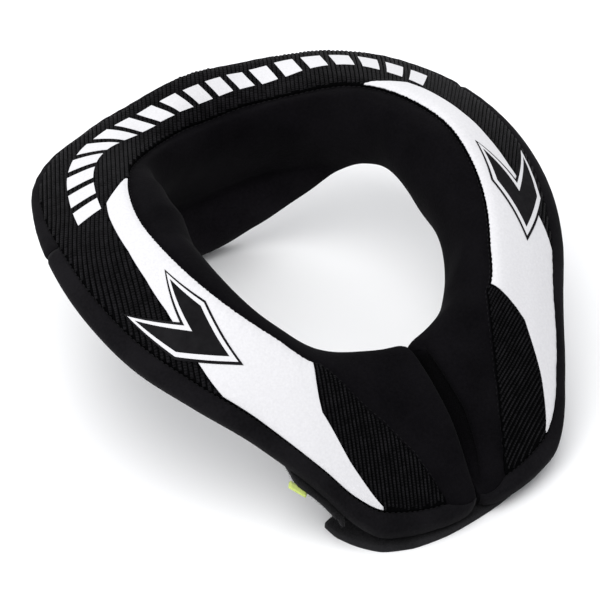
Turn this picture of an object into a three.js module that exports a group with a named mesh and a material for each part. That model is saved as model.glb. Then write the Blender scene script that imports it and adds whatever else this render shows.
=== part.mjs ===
// Padded neck brace: a split foam collar with a thick roll round the neck, a ribbed cloth top,
// a smooth edge band, printed side stripes and a hook tongue that closes the two front flaps.
// Millimetres, +Z up. The split faces -Y, the collar lies as on a table, and left and right are as seen
// from in front, so right is +X.
import * as THREE from 'three';

// Driving dimensions
const NECK_RADIUS = 64;       // neck centre to the inside of the roll at the sides
const ROLL_WIDTH = 20;        // inside of the roll to its crest seam
const FACE_WIDTH = 36;        // crest seam to the outer seam, seen from above
const CREST_HEIGHT = 110;     // table to the crest at the sides
const WALL = 14;              // foam thickness at the foot of the inner wall
const CROWN = 8;              // how far the padding swells the front flaps
const EDGE_DEPTH = 15;        // thickness of the outer edge at the sides
const EDGE_REACH = 6;         // how far the edge bulges past the outer seam
const FLAP_GAP = 1;           // gap between the two flaps at the split
const FLAP_ROUND = 8;         // length over which a flap end is rounded
const END_SHRINK = 0.13;      // how much smaller a flap end is than the flap, as a share
const PIECE_GAP = 0.3;        // air between two pieces that touch
const CLOTH_GAP = 0.45;       // air under the ribbed cloth, where the facets of both differ most
const TWILL = 1;              // thickness of the ribbed cloth
const BAND = 1.2;             // thickness of the edge band cloth
const PRINT = 0.4;            // thickness of the printed stripes
const TONGUE = 3.2;           // thickness of the hook tongue
const TONGUE_WIDTH = 36;      // width of the hook tongue under the flaps
const PATCH = 2.4;            // thickness of the loop patch
const TAG_LENGTH = 10;        // length of the folded tag along the edge
const TAG_REACH = 3;          // how far the tag stands out of the edge

// Places round the ring, in degrees from the split
const BAND_END = 108;         // where the side bands meet the back binding
const TONGUE_ROOT = 21;       // sewn end of the tongue under the right flap
const TONGUE_TIP = 31;        // free end of the tongue under the left flap
const PATCH_START = 25;
const PATCH_END = 39;
const TAG_PLACE = 35;

// Upper sections of one half, from the split to the middle of the back.
// rim is a share of NECK_RADIUS, crest of ROLL_WIDTH, seam of FACE_WIDTH, crestZ of CREST_HEIGHT, reach of
// EDGE_REACH and crown of CROWN. underZ is the height of the edge's underside, a share of CREST_HEIGHT, and
// depth the edge's thickness above it, a share of EDGE_DEPTH.
const UPPER = [
  { angle: 0, rim: 1.19, crest: 0.50, seam: 1.51, crestZ: 0.61, underZ: 0.03, reach: 0.60, depth: 0.88, crown: 1.00 },
  { angle: 8, rim: 1.18, crest: 0.58, seam: 1.47, crestZ: 0.62, underZ: 0.03, reach: 0.75, depth: 0.81, crown: 0.90 },
  { angle: 16, rim: 1.16, crest: 0.70, seam: 1.42, crestZ: 0.64, underZ: 0.04, reach: 0.90, depth: 0.88, crown: 0.65 },
  { angle: 21, rim: 1.15, crest: 0.78, seam: 1.37, crestZ: 0.65, underZ: 0.06, reach: 0.95, depth: 0.95, crown: 0.50 },
  { angle: 25, rim: 1.14, crest: 0.90, seam: 1.25, crestZ: 0.66, underZ: 0.12, reach: 0.90, depth: 0.95, crown: 0.38 },
  { angle: 31, rim: 1.12, crest: 1.07, seam: 1.01, crestZ: 0.68, underZ: 0.24, reach: 0.85, depth: 0.88, crown: 0.28 },
  { angle: 45, rim: 1.09, crest: 0.91, seam: 0.87, crestZ: 0.78, underZ: 0.42, reach: 0.95, depth: 0.87, crown: 0.31 },
  { angle: 60, rim: 1.04, crest: 0.92, seam: 0.93, crestZ: 0.87, underZ: 0.55, reach: 1.00, depth: 0.90, crown: 0.31 },
  { angle: 75, rim: 0.99, crest: 1.01, seam: 1.01, crestZ: 0.94, underZ: 0.63, reach: 1.00, depth: 1.02, crown: 0.31 },
  { angle: 90, rim: 0.97, crest: 1.09, seam: 1.03, crestZ: 0.99, underZ: 0.71, reach: 1.00, depth: 1.02, crown: 0.31 },
  { angle: 105, rim: 1.00, crest: 1.04, seam: 1.06, crestZ: 1.00, underZ: 0.77, reach: 0.95, depth: 0.90, crown: 0.31 },
  { angle: 120, rim: 1.08, crest: 0.84, seam: 1.17, crestZ: 1.00, underZ: 0.815, reach: 0.65, depth: 0.55, crown: 0.25 },
  { angle: 132, rim: 1.15, crest: 0.69, seam: 1.24, crestZ: 0.98, underZ: 0.82, reach: 0.50, depth: 0.45, crown: 0.20 },
  { angle: 141, rim: 1.20, crest: 0.56, seam: 1.19, crestZ: 0.95, underZ: 0.82, reach: 0.43, depth: 0.44, crown: 0.12 },
  { angle: 150, rim: 1.24, crest: 0.43, seam: 0.99, crestZ: 0.92, underZ: 0.85, reach: 0.43, depth: 0.38, crown: 0.12 },
  { angle: 162, rim: 1.25, crest: 0.40, seam: 0.76, crestZ: 0.89, underZ: 0.89, reach: 0.43, depth: 0.38, crown: 0.12 },
  { angle: 180, rim: 1.25, crest: 0.40, seam: 0.64, crestZ: 0.86, underZ: 0.93, reach: 0.43, depth: 0.38, crown: 0.12 },
];

// Lower sections of one half. waist and low are shares of ROLL_WIDTH out from the rim, heel is a share
// of WALL out from low, and the heights rimZ, waistZ, lowZ and heelZ are shares of CREST_HEIGHT.
const LOWER = [
  { angle: 0, waist: -0.05, low: 0.10, heel: 0.55, rimZ: 0.52, waistZ: 0.46, lowZ: 0.41, heelZ: 0.36 },
  { angle: 20, waist: -0.05, low: 0.10, heel: 0.60, rimZ: 0.56, waistZ: 0.49, lowZ: 0.42, heelZ: 0.36 },
  { angle: 45, waist: -0.13, low: 0.00, heel: 0.70, rimZ: 0.65, waistZ: 0.55, lowZ: 0.48, heelZ: 0.43 },
  { angle: 70, waist: -0.05, low: 0.20, heel: 0.85, rimZ: 0.76, waistZ: 0.63, lowZ: 0.54, heelZ: 0.50 },
  { angle: 90, waist: 0.02, low: 0.30, heel: 1.00, rimZ: 0.81, waistZ: 0.66, lowZ: 0.57, heelZ: 0.54 },
  { angle: 110, waist: 0.12, low: 0.80, heel: 0.85, rimZ: 0.83, waistZ: 0.69, lowZ: 0.63, heelZ: 0.60 },
  { angle: 125, waist: 0.27, low: 0.90, heel: 0.85, rimZ: 0.80, waistZ: 0.63, lowZ: 0.59, heelZ: 0.57 },
  { angle: 135, waist: 0.35, low: 0.58, heel: 1.00, rimZ: 0.79, waistZ: 0.57, lowZ: 0.50, heelZ: 0.49 },
  { angle: 147, waist: 0.45, low: 0.35, heel: 1.35, rimZ: 0.77, waistZ: 0.49, lowZ: 0.35, heelZ: 0.34 },
  { angle: 160, waist: 0.70, low: 0.45, heel: 1.05, rimZ: 0.74, waistZ: 0.40, lowZ: 0.19, heelZ: 0.13 },
  { angle: 170, waist: 0.80, low: 0.55, heel: 0.80, rimZ: 0.72, waistZ: 0.35, lowZ: 0.11, heelZ: 0.02 },
  { angle: 180, waist: 0.85, low: 0.60, heel: 0.70, rimZ: 0.72, waistZ: 0.32, lowZ: 0.07, heelZ: 0.00 },
];

// Inner edge of the ribbed cloth on a front flap: share of the way from the crest to the outer seam.
const FLAP_SEAM = [
  { angle: 7, inner: 0.94 },
  { angle: 8.5, inner: 0.80 },
  { angle: 11, inner: 0.64 },
  { angle: 16, inner: 0.44 },
  { angle: 22, inner: 0.28 },
  { angle: 26, inner: 0.16 },
  { angle: 31, inner: 0 },
];

// Edges of a printed side stripe, as shares of the way from the crest to the outer seam.
const STRIPE = [
  { angle: 20, inner: 0.95, outer: 0.98 },
  { angle: 26, inner: 0.72, outer: 0.98 },
  { angle: 31.5, inner: 0.46, outer: 0.98 },
  { angle: 32.2, inner: 0.34, outer: 0.98 },
  { angle: 32.7, inner: 0.22, outer: 0.98 },
  { angle: 33, inner: 0.12, outer: 0.98 },
  { angle: 33.3, inner: 0.02, outer: 0.98 },
  { angle: 54, inner: 0.02, outer: 0.96 },
  { angle: 60, inner: 0.02, outer: 0.80 },
  { angle: 66, inner: 0.02, outer: 0.65 },
  { angle: 74, inner: 0.02, outer: 0.51 },
  { angle: 84, inner: 0.02, outer: 0.41 },
  { angle: 94, inner: 0.02, outer: 0.35 },
  { angle: 109, inner: 0.02, outer: 0.32 },
  { angle: 115, inner: 0.02, outer: 0.29 },
  { angle: 121, inner: 0.02, outer: 0.15 },
  { angle: 127, inner: 0.01, outer: 0.03 },
];

// Outer edge of the tongue, from its root to its tip: how far it lies past the flaps' outer edge, as a
// share of EDGE_REACH.
const TONGUE_EDGE = [
  { turn: -TONGUE_ROOT, past: -1.40 },
  { turn: -16, past: -1.10 },
  { turn: -5, past: -0.50 },
  { turn: 2, past: -0.15 },
  { turn: 8, past: 0.15 },
  { turn: 15, past: 0.35 },
  { turn: 21, past: 0.10 },
  { turn: 25, past: -0.35 },
  { turn: 29, past: -0.90 },
  { turn: TONGUE_TIP, past: -1.70 },
];

// Places round a section, in the order of its control points, and the steps from each to the next
const PLACES = { crest: 0, seam: 2, edge: 3, under: 4 };
const SECTION_STEPS = [3, 3, 2, 2, 2, 2, 2, 2, 2, 2, 2];

// Turn over which a flap end is rounded
const END_TURN = THREE.MathUtils.radToDeg(FLAP_ROUND / (NECK_RADIUS + ROLL_WIDTH + FACE_WIDTH / 2));

const degrees = THREE.MathUtils.degToRad;

// Value of one column at a place, straight between rows
function straight(rows, key, column, place) {
  const next = rows.findIndex((row) => row[key] >= place);
  if (next === 0) return rows[0][column];
  if (next < 0) return rows[rows.length - 1][column];
  const low = rows[next - 1];
  const high = rows[next];
  return THREE.MathUtils.mapLinear(place, low[key], high[key], low[column], high[column]);
}

// Slope of a column at a row, level at both ends of the table
function slope(rows, column, index) {
  if (index === 0 || index === rows.length - 1) return 0;
  const [before, here, after] = rows.slice(index - 1, index + 2);
  const back = here.angle - before.angle;
  const ahead = after.angle - here.angle;
  const slopeBack = (here[column] - before[column]) / back;
  const slopeAhead = (after[column] - here[column]) / ahead;
  return (slopeBack * ahead + slopeAhead * back) / (back + ahead);
}

// Smooth value of one column at an angle
function smooth(rows, column, angle) {
  const index = Math.max(0, Math.min(rows.length - 2, rows.filter((row) => row.angle <= angle).length - 1));
  const from = rows[index];
  const to = rows[index + 1];
  const span = to.angle - from.angle;
  const t = (angle - from.angle) / span;
  return (
    (2 * t ** 3 - 3 * t ** 2 + 1) * from[column] +
    (t ** 3 - 2 * t ** 2 + t) * span * slope(rows, column, index) +
    (3 * t ** 2 - 2 * t ** 3) * to[column] +
    (t ** 3 - t ** 2) * span * slope(rows, column, index + 1)
  );
}

// Control points of a section, x out from the neck centre and y up
function sectionControls(angle) {
  const upper = (column) => smooth(UPPER, column, angle);
  const lower = (column) => smooth(LOWER, column, angle);
  const point = (x, y) => new THREE.Vector2(x, y);
  const rim = point(NECK_RADIUS * upper('rim'), CREST_HEIGHT * lower('rimZ'));
  const crest = point(rim.x + ROLL_WIDTH * upper('crest'), CREST_HEIGHT * upper('crestZ'));
  const depth = EDGE_DEPTH * upper('depth');
  const seam = point(crest.x + FACE_WIDTH * upper('seam'), CREST_HEIGHT * upper('underZ') + depth);
  const along = seam.clone().sub(crest).normalize();
  const swell = point(-along.y, along.x).multiplyScalar(CROWN * upper('crown'));
  const crown = crest.clone().lerp(seam, 0.5).add(swell);
  const reach = EDGE_REACH * upper('reach');
  const edge = point(seam.x + reach, seam.y - 0.45 * depth);
  const under = point(seam.x + 0.25 * reach, seam.y - depth);
  const waist = point(rim.x + ROLL_WIDTH * lower('waist'), CREST_HEIGHT * lower('waistZ'));
  const low = point(rim.x + ROLL_WIDTH * lower('low'), CREST_HEIGHT * lower('lowZ'));
  const heel = point(low.x + WALL * lower('heel'), CREST_HEIGHT * lower('heelZ'));
  const belly = under.clone().lerp(heel, 0.5);
  const shoulder = point(rim.x + 0.42 * (crest.x - rim.x), rim.y + 0.9 * (crest.y - rim.y));
  return [crest, crown, seam, edge, under, belly, heel, low, waist, rim, shoulder];
}

// Point of a closed smooth line through the controls, at a place counted in controls
function sectionPoint(controls, place) {
  const count = controls.length;
  const index = Math.floor(place);
  const points = [-1, 0, 1, 2].map((step) => controls[(index + step + count) % count]);
  const knots = [0];
  for (let k = 1; k < 4; k += 1) {
    knots.push(knots[k - 1] + Math.sqrt(points[k].distanceTo(points[k - 1])));
  }
  const at = THREE.MathUtils.lerp(knots[1], knots[2], place - index);
  const blend = (a, b, from, to) => a.clone().lerp(b, (at - from) / (to - from));
  const first = [0, 1, 2].map((k) => blend(points[k], points[k + 1], knots[k], knots[k + 1]));
  const second = [0, 1].map((k) => blend(first[k], first[k + 1], knots[k], knots[k + 2]));
  return blend(second[0], second[1], knots[1], knots[2]);
}

// Lowest height of the collar at an angle: above the tongue and the band at the front, else the table
function floorHeight(angle) {
  return angle < PATCH_END ? TONGUE + PIECE_GAP + BAND + PIECE_GAP : 0;
}

// Puts a section point into space. turn runs from the split round the right side, the back and the
// left side to the split again, in degrees.
function ringPoint(turn, radius, height) {
  const right = turn <= 180;
  const angle = right ? turn : 360 - turn;
  const spread = (FLAP_GAP / 2) * (1 - angle / 180);
  const across = radius * Math.sin(degrees(angle)) + spread;
  return new THREE.Vector3(
    right ? across : -across,
    -radius * Math.cos(degrees(angle)),
    Math.max(height, floorHeight(angle)),
  );
}

// Point of the collar's skin. The section is drawn towards its middle where a flap end is rounded.
function skinPoint(turn, place) {
  const angle = Math.min(turn, 360 - turn);
  const controls = sectionControls(angle);
  const middle = controls.reduce((sum, point) => sum.add(point), new THREE.Vector2()).divideScalar(controls.length);
  const depth = Math.max(0, 1 - angle / END_TURN);
  const shrink = END_SHRINK * (1 - Math.sqrt(1 - depth ** 2));
  const flat = sectionPoint(controls, place).lerp(middle, shrink);
  return ringPoint(turn, flat.x, flat.y);
}

// Point at a height above the collar's skin, along the outward normal
function liftedPoint(turn, place, lift) {
  const step = 0.05;
  const round = skinPoint(Math.min(turn + 10 * step, 360), place).sub(skinPoint(Math.max(turn - 10 * step, 0), place));
  const across = skinPoint(turn, place + step).sub(skinPoint(turn, place - step));
  return skinPoint(turn, place).addScaledVector(across.cross(round).normalize(), lift);
}

// Evenly spaced values with both ends, no further apart than a step
function evenly(from, to, step) {
  const count = Math.max(1, Math.ceil(Math.abs(to - from) / step));
  return Array.from({ length: count + 1 }, (_, k) => THREE.MathUtils.lerp(from, to, k / count));
}

// Closed mesh from rings of points; every ring has the same count and both ends are capped.
// Each four-sided patch is split along its shorter diagonal, so that both halves are alike.
function closedLoft(rings, capTriangles) {
  const count = rings[0].length;
  const points = rings.flat();
  const positions = points.flatMap((point) => point.toArray());
  const index = [];
  for (let i = 0; i < rings.length - 1; i += 1) {
    for (let j = 0; j < count; j += 1) {
      const a = i * count + j;
      const b = i * count + ((j + 1) % count);
      const rising = points[a].distanceTo(points[b + count]);
      const falling = points[b].distanceTo(points[a + count]);
      if (rising < falling) index.push(a, b, b + count, a, b + count, a + count);
      else index.push(a, b, a + count, b, b + count, a + count);
    }
  }
  const last = (rings.length - 1) * count;
  for (const [a, b, c] of capTriangles) {
    index.push(a, c, b, last + a, last + b, last + c);
  }
  const geometry = new THREE.BufferGeometry();
  geometry.setAttribute('position', new THREE.Float32BufferAttribute(positions, 3));
  geometry.setIndex(index);
  return geometry;
}

// Cap triangles of an upright ring of points, clockwise like the sections
function outlineCap(ring) {
  const outline = ring.map((point) => new THREE.Vector2(-point.y, point.z));
  return THREE.ShapeUtils.triangulateShape(outline, []).map(([a, b, c]) => [a, c, b]);
}

// Turns of the collar's sections all the way round, closer together at the flaps
function collarTurns() {
  const roundEnd = [0, 0.25, 0.6].map((share) => share * END_TURN);
  const flap = evenly(END_TURN, PATCH_END - 3, 3.4);
  const half = [...roundEnd, ...flap, ...evenly(PATCH_END - 3, 180, 6).slice(1)];
  return [...half, ...half.slice(0, -1).reverse().map((turn) => 360 - turn)];
}

// The collar's turns between two turns, with both of these and some extra ones among them
function turnsBetween(from, to, extra = []) {
  const own = [from, to, ...extra.filter((turn) => turn > from && turn < to)];
  const shared = collarTurns().filter((turn) => turn > from && turn < to);
  const spare = shared.filter((turn) => own.every((other) => Math.abs(other - turn) > 0.8));
  return [...own, ...spare].sort((a, b) => a - b);
}

// The padded collar, open at the front
function collarBody() {
  const places = SECTION_STEPS.flatMap((steps, k) => Array.from({ length: steps }, (_, i) => k + i / steps));
  const rings = collarTurns().map((turn) => places.map((place) => skinPoint(turn, place)));
  return closedLoft(rings, outlineCap(rings[0]));
}

// A cloth strip that follows the collar's skin. edges gives its two places across at a turn.
function clothStrip(turns, edges, steps, lift, thickness) {
  const rings = turns.map((turn) => {
    const [from, to] = edges(turn);
    const places = evenly(from, to, (to - from) / steps);
    const top = places.map((place) => liftedPoint(turn, place, lift + thickness));
    const bottom = places.map((place) => liftedPoint(turn, place, lift));
    return [...top, ...bottom.reverse()];
  });
  const cap = [];
  for (let k = 0; k < steps; k += 1) {
    const under = 2 * steps + 1 - k;
    cap.push([k, k + 1, under], [k + 1, under - 1, under]);
  }
  return closedLoft(rings, cap);
}

// The ribbed cloth on top, one piece from flap to flap round the back
function twillPanel() {
  const start = FLAP_SEAM[0].angle;
  const rows = FLAP_SEAM.map((row) => row.angle);
  const turns = turnsBetween(start, 360 - start, [...rows, ...rows.map((angle) => 360 - angle)]);
  const edges = (turn) => {
    const inner = straight(FLAP_SEAM, 'angle', 'inner', Math.min(turn, 360 - turn));
    return [PLACES.crest + PLACES.seam * inner, PLACES.seam * 0.99];
  };
  return clothStrip(turns, edges, 6, CLOTH_GAP, TWILL);
}

// A printed stripe on the ribbed cloth; side is 1 on the right and -1 on the left
function stripe(side) {
  const rows = STRIPE.map((row) => row.angle);
  const angles = turnsBetween(rows[0], rows[rows.length - 1], rows);
  const turns = side > 0 ? angles : angles.map((angle) => 360 - angle).reverse();
  const edges = (turn) => {
    const angle = Math.min(turn, 360 - turn);
    return ['inner', 'outer'].map((column) => PLACES.seam * straight(STRIPE, 'angle', column, angle));
  };
  return clothStrip(turns, edges, 6, CLOTH_GAP + TWILL + PIECE_GAP, PRINT);
}

// The smooth cloth round the outer edge between two turns
function edgeCloth(from, to) {
  return clothStrip(turnsBetween(from, to), () => [PLACES.seam + 0.04, PLACES.under], 4, PIECE_GAP, BAND);
}

// Loop cloth under the left flap, where the tongue takes hold
function loopPatch() {
  const turns = turnsBetween(360 - PATCH_END, 360 - PATCH_START);
  return clothStrip(turns, () => [PLACES.under + 0.08, PLACES.under + 0.92], 2, PIECE_GAP, PATCH);
}

// Folded tag that stands out of the left edge between the band and the loop patch
function edgeTag() {
  const radius = NECK_RADIUS + ROLL_WIDTH + FACE_WIDTH;
  const halfTurn = THREE.MathUtils.radToDeg(TAG_LENGTH / 2 / radius);
  const middle = 360 - TAG_PLACE;
  const lift = PIECE_GAP + BAND + PIECE_GAP;
  return clothStrip([middle - halfTurn, middle + halfTurn], () => [PLACES.edge + 0.7, PLACES.edge + 0.88], 1, lift, TAG_REACH);
}

// The hook tongue, flat on the table under both flaps
function hookTongue() {
  const turns = evenly(-TONGUE_ROOT, TONGUE_TIP, 2.9);
  const rings = turns.map((turn) => {
    const corner = (radius, height) =>
      new THREE.Vector3(-radius * Math.sin(degrees(turn)), -radius * Math.cos(degrees(turn)), height);
    const flap = sectionControls(Math.abs(turn))[PLACES.edge].x;
    const edge = flap + EDGE_REACH * straight(TONGUE_EDGE, 'turn', 'past', turn);
    const inner = sectionControls(TONGUE_ROOT)[PLACES.edge].x + EDGE_REACH * TONGUE_EDGE[0].past - TONGUE_WIDTH;
    return [corner(edge, TONGUE), corner(inner, TONGUE), corner(inner, 0), corner(edge, 0)];
  });
  return closedLoft(rings, [[0, 1, 2], [0, 2, 3]]);
}

function material(color, roughness) {
  return new THREE.MeshStandardMaterial({ color, roughness, metalness: 0 });
}

const knit = () => material(0x131315, 0.95);
const twill = () => material(0x1e1e22, 0.85);
const white = () => material(0xecebee, 0.55);
const hook = () => material(0x17171a, 1);
const lime = () => material(0xa9b53c, 0.8);

const pieces = [
  ['collar_body', collarBody(), knit()],
  ['twill_panel', twillPanel(), twill()],
  ['stripe_right', stripe(1), white()],
  ['stripe_left', stripe(-1), white()],
  ['edge_band_right', edgeCloth(1.5, BAND_END), knit()],
  ['edge_band_left', edgeCloth(360 - BAND_END, 358.5), knit()],
  ['back_binding', edgeCloth(BAND_END + 0.3, 360 - BAND_END - 0.3), knit()],
  ['hook_tongue', hookTongue(), hook()],
  ['loop_patch', loopPatch(), hook()],
  ['edge_tag', edgeTag(), lime()],
];

const brace = new THREE.Group();
for (const [name, geometry, finish] of pieces) {
  geometry.computeVertexNormals();
  const mesh = new THREE.Mesh(geometry, finish);
  mesh.name = name;
  brace.add(mesh);
}

// The origin is the middle of the base of the whole piece
const bounds = new THREE.Box3().setFromObject(brace);
const middle = bounds.getCenter(new THREE.Vector3());
brace.position.set(-middle.x, -middle.y, -bounds.min.z);
brace.updateMatrixWorld(true);

export default brace;
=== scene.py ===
# %% [markdown]
# # A padded neck brace
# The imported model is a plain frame: it says where every piece is and how large it is. This notebook
# dresses it. The foam ring gets a soft swelling, the cloths get their weave and seams, and the white
# prints get clean edges. Every length is in metres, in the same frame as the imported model.

# %% Load the frame
import math

import bmesh
import bpy
import numpy as np
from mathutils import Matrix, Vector


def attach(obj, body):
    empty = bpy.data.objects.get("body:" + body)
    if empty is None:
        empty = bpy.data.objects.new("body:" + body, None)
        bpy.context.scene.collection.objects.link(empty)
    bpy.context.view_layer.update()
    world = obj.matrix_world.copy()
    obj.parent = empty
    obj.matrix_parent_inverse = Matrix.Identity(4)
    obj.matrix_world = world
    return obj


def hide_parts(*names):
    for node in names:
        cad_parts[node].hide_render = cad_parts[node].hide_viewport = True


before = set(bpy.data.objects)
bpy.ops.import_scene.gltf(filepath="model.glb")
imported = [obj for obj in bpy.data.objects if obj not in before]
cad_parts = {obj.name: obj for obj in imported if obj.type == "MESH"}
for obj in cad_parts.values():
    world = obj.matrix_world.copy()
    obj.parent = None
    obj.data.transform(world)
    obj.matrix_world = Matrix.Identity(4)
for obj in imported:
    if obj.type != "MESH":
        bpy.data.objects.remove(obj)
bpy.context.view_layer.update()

# %% [markdown]
# ## Camera and studio
# The photograph was taken with a long lens, from 39 degrees above the table and 34 degrees to the left of
# the split. A long lens keeps the far side of the ring nearly as large as the near side. Black cloth shows
# its shape only by soft reflections, so the light comes from large panels and a pale surrounding.

# %% Camera
NECK_Y = 0.01513             # the neck centre lies this far behind the part's origin
VIEW_AZIMUTH = math.radians(-34.4)
VIEW_ELEVATION = math.radians(39.1)
VIEW_DISTANCE = 1.4287
VIEW_LENS = 181.6
view_target = Vector((-0.0349, NECK_Y - 0.0435, 0.0826))


def back_direction(azimuth, elevation):
    """Direction from a target towards a viewer, both angles in radians."""
    level = math.cos(elevation)
    return Vector((math.sin(azimuth) * level, -math.cos(azimuth) * level, math.sin(elevation)))


def linked_object(name, data):
    """A new object of the scene that shows the given data."""
    shown = bpy.data.objects.new(name, data)
    bpy.context.scene.collection.objects.link(shown)
    return shown


def aim(shown, target, direction, distance):
    """Puts a camera or light at a distance from a target and turns it to face the target."""
    shown.location = target + direction * distance
    shown.rotation_mode = "QUATERNION"
    shown.rotation_quaternion = (-direction).to_track_quat("-Z", "Y")


camera = linked_object("camera", bpy.data.cameras.new("camera"))
camera.data.lens = VIEW_LENS
aim(camera, view_target, back_direction(VIEW_AZIMUTH, VIEW_ELEVATION), VIEW_DISTANCE)
bpy.context.scene.camera = camera
print("camera at", [round(value, 3) for value in camera.location])


# %% Light panels, surroundings and floor
def light_panel(name, azimuth, elevation, distance, size, power):
    """A square soft light that faces the brace from a direction in degrees."""
    light = bpy.data.lights.new(name, "AREA")
    light.shape = "SQUARE"
    light.size = size
    light.energy = power
    direction = back_direction(math.radians(azimuth), math.radians(elevation))
    aim(linked_object(name, light), Vector(), direction, distance)


light_panel("light_above", -60, 68, 1.5, 1.1, 15)
light_panel("light_left", -110, 30, 1.7, 1.0, 6)
light_panel("light_back", 150, 40, 1.7, 1.2, 7)
light_panel("light_front", 10, 25, 1.8, 1.0, 0.6)

world = bpy.data.worlds.new("studio")
world.use_nodes = True
world.node_tree.nodes["Background"].inputs["Color"].default_value = (0.93, 0.94, 0.96, 1)
world.node_tree.nodes["Background"].inputs["Strength"].default_value = 0.80
bpy.context.scene.world = world
bpy.context.scene.view_settings.view_transform = "Standard"

FLOOR_HALF = 4.0
FLOOR_DROP = 0.0002          # the floor lies this far under the brace, so that they share no plane
floor_mesh = bpy.data.meshes.new("floor")
floor_corners = ((-1, -1), (1, -1), (1, 1), (-1, 1))
floor_points = [(FLOOR_HALF * x, FLOOR_HALF * y, -FLOOR_DROP) for x, y in floor_corners]
floor_mesh.from_pydata(floor_points, [], [(0, 1, 2, 3)])
floor = linked_object("floor", floor_mesh)
print("studio ready,", len(bpy.data.lights), "light panels")

# %% [markdown]
# ## The rule of the ring
# The foam ring follows one rule. At each turn round the neck the section is a smooth closed line through
# eleven points, and two short tables say how those points travel from the split to the middle of the back.
# Repeating that rule here gives every cloth the same surface to lie on, so nothing has to be fitted by
# eye.

# %% Sizes of the ring
NECK_RADIUS = 0.064
ROLL_WIDTH = 0.020
FACE_WIDTH = 0.036
CREST_HEIGHT = 0.110
WALL = 0.014
CROWN = 0.008
EDGE_DEPTH = 0.015
EDGE_REACH = 0.006
FLAP_GAP = 0.001
FLAP_ROUND = 0.008
END_SHRINK = 0.13
TONGUE = 0.0032
TONGUE_WIDTH = 0.036
FRONT_FLOOR = TONGUE + 0.0018
FRONT_TURN = 39
END_TURN = math.degrees(FLAP_ROUND / (NECK_RADIUS + ROLL_WIDTH + FACE_WIDTH / 2))

UPPER_COLUMNS = ("angle", "rim", "crest", "seam", "crest_z", "under_z", "reach", "depth", "crown")
UPPER = np.array([
    (0, 1.19, 0.50, 1.51, 0.61, 0.03, 0.60, 0.88, 1.00),
    (8, 1.18, 0.58, 1.47, 0.62, 0.03, 0.75, 0.81, 0.90),
    (16, 1.16, 0.70, 1.42, 0.64, 0.04, 0.90, 0.88, 0.65),
    (21, 1.15, 0.78, 1.37, 0.65, 0.06, 0.95, 0.95, 0.50),
    (25, 1.14, 0.90, 1.25, 0.66, 0.12, 0.90, 0.95, 0.38),
    (31, 1.12, 1.07, 1.01, 0.68, 0.24, 0.85, 0.88, 0.28),
    (45, 1.09, 0.91, 0.87, 0.78, 0.42, 0.95, 0.87, 0.31),
    (60, 1.04, 0.92, 0.93, 0.87, 0.55, 1.00, 0.90, 0.31),
    (75, 0.99, 1.01, 1.01, 0.94, 0.63, 1.00, 1.02, 0.31),
    (90, 0.97, 1.09, 1.03, 0.99, 0.71, 1.00, 1.02, 0.31),
    (105, 1.00, 1.04, 1.06, 1.00, 0.77, 0.95, 0.90, 0.31),
    (120, 1.08, 0.84, 1.17, 1.00, 0.815, 0.65, 0.55, 0.25),
    (132, 1.15, 0.69, 1.24, 0.98, 0.82, 0.50, 0.45, 0.20),
    (141, 1.20, 0.56, 1.19, 0.95, 0.82, 0.43, 0.44, 0.12),
    (150, 1.24, 0.43, 0.99, 0.92, 0.85, 0.43, 0.38, 0.12),
    (162, 1.25, 0.40, 0.76, 0.89, 0.89, 0.43, 0.38, 0.12),
    (180, 1.25, 0.40, 0.64, 0.86, 0.93, 0.43, 0.38, 0.12),
])

LOWER_COLUMNS = ("angle", "waist", "low", "heel", "rim_z", "waist_z", "low_z", "heel_z")
LOWER = np.array([
    (0, -0.05, 0.10, 0.55, 0.52, 0.46, 0.41, 0.36),
    (20, -0.05, 0.10, 0.60, 0.56, 0.49, 0.42, 0.36),
    (45, -0.13, 0.00, 0.70, 0.65, 0.55, 0.48, 0.43),
    (70, -0.05, 0.20, 0.85, 0.76, 0.63, 0.54, 0.50),
    (90, 0.02, 0.30, 1.00, 0.81, 0.66, 0.57, 0.54),
    (110, 0.12, 0.80, 0.85, 0.83, 0.69, 0.63, 0.60),
    (125, 0.27, 0.90, 0.85, 0.80, 0.63, 0.59, 0.57),
    (135, 0.35, 0.58, 1.00, 0.79, 0.57, 0.50, 0.49),
    (147, 0.45, 0.35, 1.35, 0.77, 0.49, 0.35, 0.34),
    (160, 0.70, 0.45, 1.05, 0.74, 0.40, 0.19, 0.13),
    (170, 0.80, 0.55, 0.80, 0.72, 0.35, 0.11, 0.02),
    (180, 0.85, 0.60, 0.70, 0.72, 0.32, 0.07, 0.00),
])
print("tables of", len(UPPER), "and", len(LOWER), "sections")


# %% Sections of the ring
def smooth_columns(table, names, angle):
    """Every column of a table at each angle, smooth between rows and level at both ends."""
    knots = table[:, 0]
    gaps = np.diff(knots)[:, None]
    values = table[:, 1:]
    rise = np.diff(values, axis=0) / gaps
    slopes = np.zeros_like(values)
    slopes[1:-1] = (rise[:-1] * gaps[1:] + rise[1:] * gaps[:-1]) / (gaps[1:] + gaps[:-1])
    row = np.clip(np.searchsorted(knots, angle, side="right") - 1, 0, len(knots) - 2)
    gap = gaps[row]
    t = (angle[:, None] - knots[row][:, None]) / gap
    start = (2 * t**3 - 3 * t**2 + 1) * values[row] + (t**3 - 2 * t**2 + t) * gap * slopes[row]
    end = (3 * t**2 - 2 * t**3) * values[row + 1] + (t**3 - t**2) * gap * slopes[row + 1]
    return dict(zip(names[1:], (start + end).T))


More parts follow.
